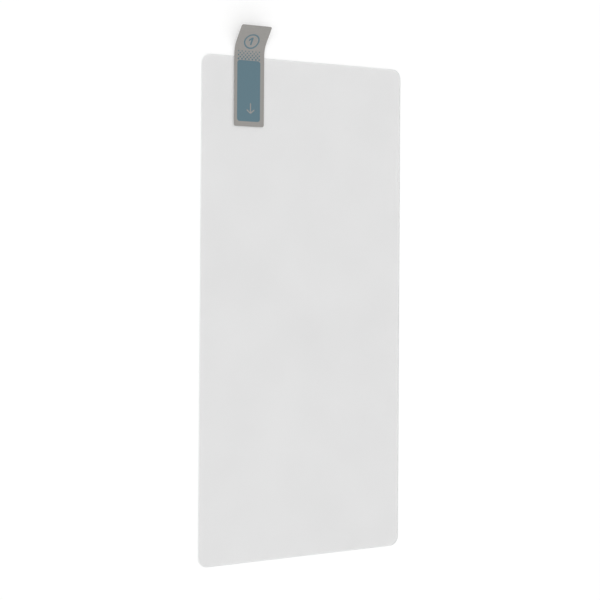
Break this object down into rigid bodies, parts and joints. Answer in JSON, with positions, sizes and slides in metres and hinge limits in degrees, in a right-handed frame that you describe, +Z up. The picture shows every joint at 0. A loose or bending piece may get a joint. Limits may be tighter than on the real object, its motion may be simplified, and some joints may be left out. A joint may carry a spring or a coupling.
{
  "type": "phone screen protector",
  "caption": "Thin clear glass pane with rounded corners, its adhesive side under a release liner with a bent-up grey pull tab that has a blue printed field and a peel arrow.",
  "frame": {"origin": "middle of the pane's front face, which is the face it lies on", "axes": "+X to the right across the pane, +Y along it towards the end with the pull tab, +Z up out of the adhesive side"},
  "size_m": [0.072, 0.1671, 0.0061],
  "materials": {
    "clear_glass": "polished",
    "clear_film": "gloss",
    "grey_film": "satin",
    "blue_ink": "satin"
  },
  "bodies": {
    "root": {"glass_pane": "clear_glass", "release_liner": "clear_film", "pull_tab": "grey_film", "tab_print": "blue_ink"}
  },
  "joints": []
}
